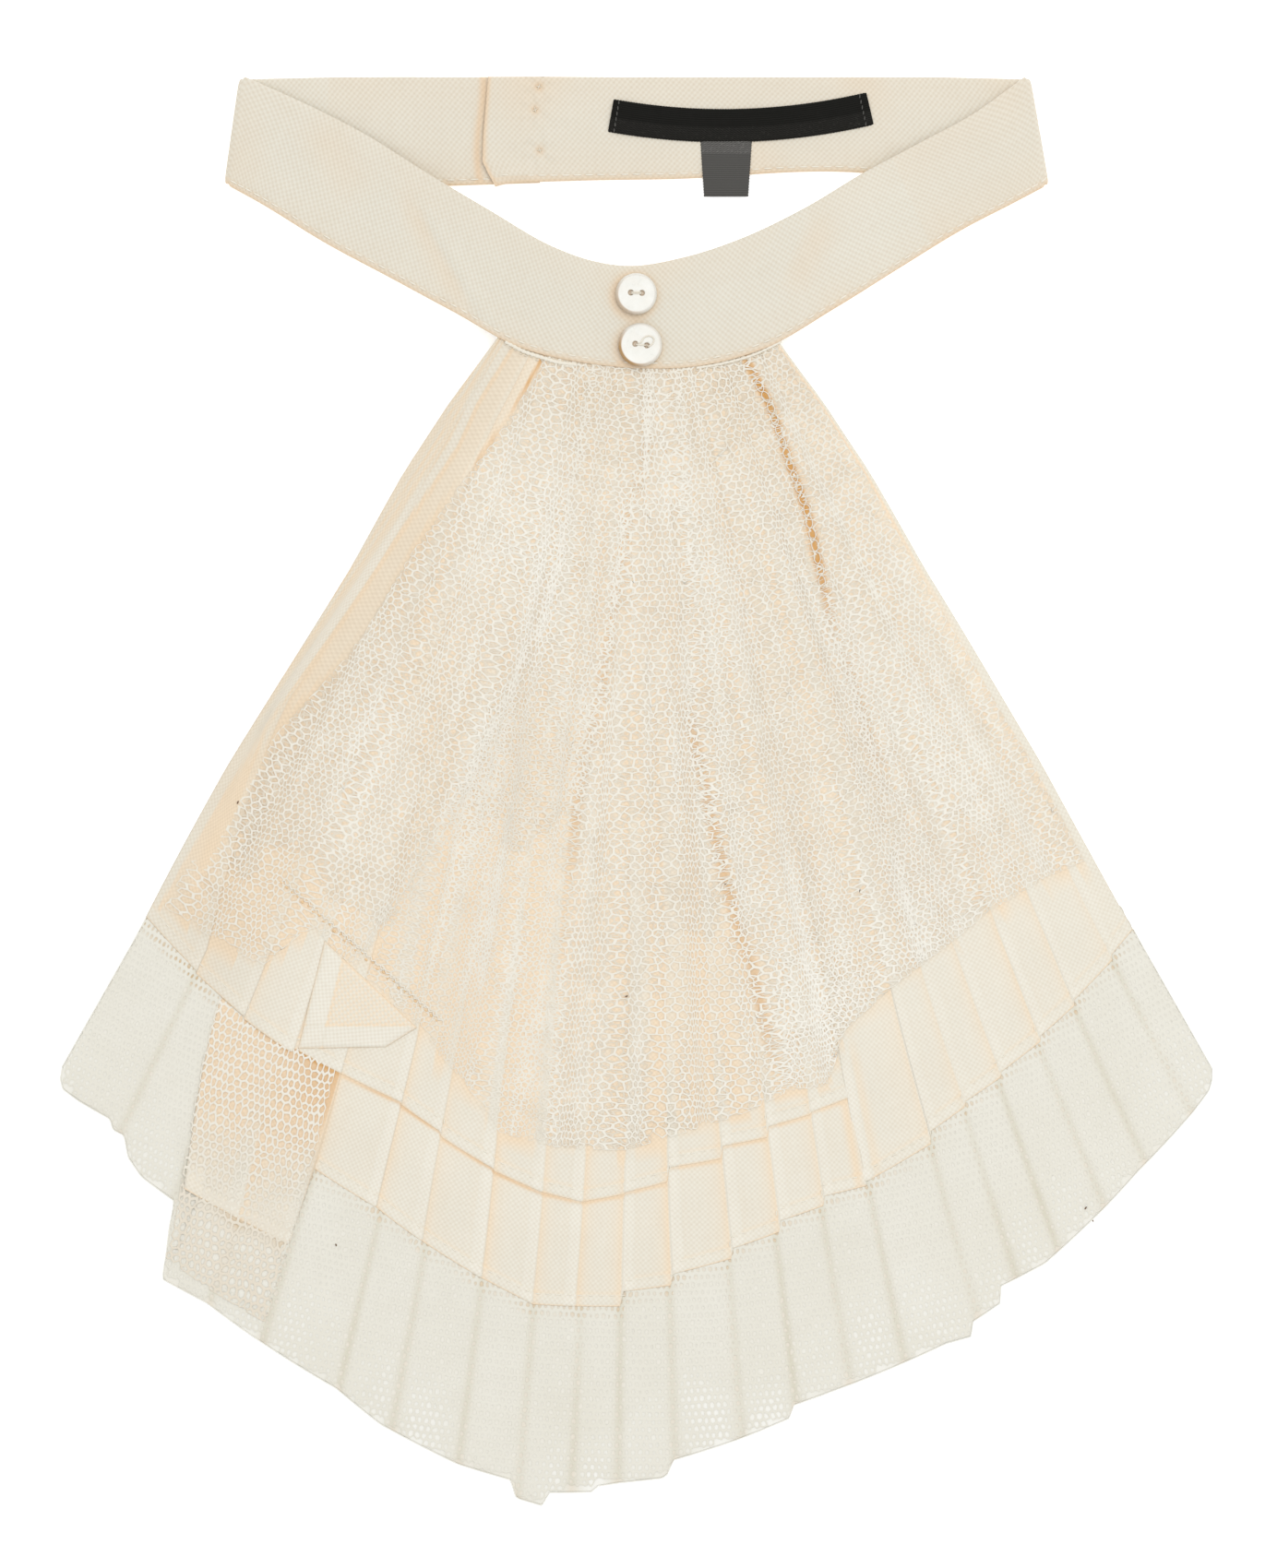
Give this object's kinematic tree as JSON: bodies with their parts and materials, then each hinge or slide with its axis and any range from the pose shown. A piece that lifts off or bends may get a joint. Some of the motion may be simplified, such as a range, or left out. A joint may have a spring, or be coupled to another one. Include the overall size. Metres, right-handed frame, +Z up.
{
  "type": "lace jabot",
  "caption": "Lace jabot laid flat: buttoned twill neckband with a fan of pleated cloth under gathered lace and a pleated net frill.",
  "frame": {"origin": "on the surface that the jabot lies on, under the middle of its box", "axes": "+Z up out of the jabot's face, +Y from its hem to its neckband, +X to the right as it is seen"},
  "size_m": [0.252, 0.3097, 0.009],
  "materials": {
    "band_twill": "matt cream twill",
    "pleated_cloth": "matt cream cloth with a fine weave",
    "lace": "matt pale lace",
    "net": "matt pale net",
    "label_black": "black woven satin",
    "tab_grey": "dark grey woven satin",
    "shell": "polished shell"
  },
  "bodies": {
    "root": {"neckband": "band_twill", "label": "label_black", "size_tab": "tab_grey", "lace_overlay": "lace", "short_cloth": "pleated_cloth", "corner_flap": "pleated_cloth", "long_cloth": "pleated_cloth", "long_cloth_right": "pleated_cloth", "coarse_net": "net", "net_frill": "net", "button_upper": "shell", "button_lower": "shell"}
  },
  "joints": []
}
